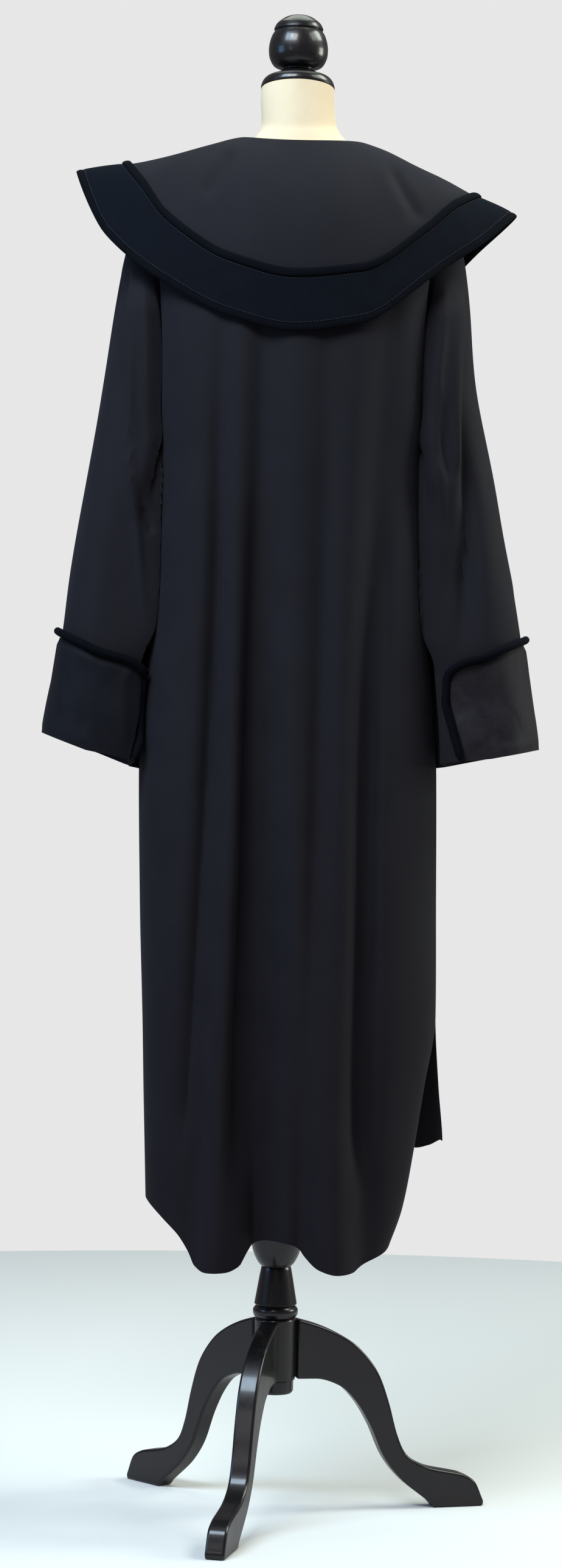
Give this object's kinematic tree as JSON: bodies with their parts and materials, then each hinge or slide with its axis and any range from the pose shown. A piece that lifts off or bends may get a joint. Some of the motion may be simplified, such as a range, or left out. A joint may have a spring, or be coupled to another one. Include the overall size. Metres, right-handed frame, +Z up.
{
  "type": "judicial robe on dress form",
  "caption": "Full-length black judge's robe with set-in sleeves, turn-back satin cuffs and a velvet-banded cape collar, worn by a limbless dress form on a turned tripod stand.",
  "frame": {"origin": "Middle of the model's footprint, at the height of the stand's soles", "axes": "+Z up the stand's pole, along the longest extent; the robe's front faces -Y and its back +Y; the wearer's left is +X"},
  "size_m": [0.5838, 0.4436, 1.7596],
  "materials": {
    "wool": "matte black wool cloth",
    "satin": "soft black satin",
    "velvet": "blue-black velvet",
    "jersey": "cream jersey",
    "lacquer": "black gloss lacquer"
  },
  "bodies": {
    "root": {"robe_back": "wool", "robe_front_left": "wool", "robe_front_right": "wool", "sleeve_left": "wool", "sleeve_right": "wool", "cape_collar": "wool", "cuff_left": "satin", "cuff_right": "satin", "collar_band": "velvet", "collar_roll_inner": "velvet", "collar_roll_outer": "velvet", "cuff_piping_left": "velvet", "cuff_piping_right": "velvet", "torso": "jersey", "neck_cap": "lacquer", "finial": "lacquer", "pole": "lacquer", "bulb": "lacquer", "cone": "lacquer", "bead_ring": "lacquer", "hub": "lacquer", "hub_plug": "lacquer", "leg_back": "lacquer", "leg_left": "lacquer", "leg_right": "lacquer"}
  },
  "joints": []
}
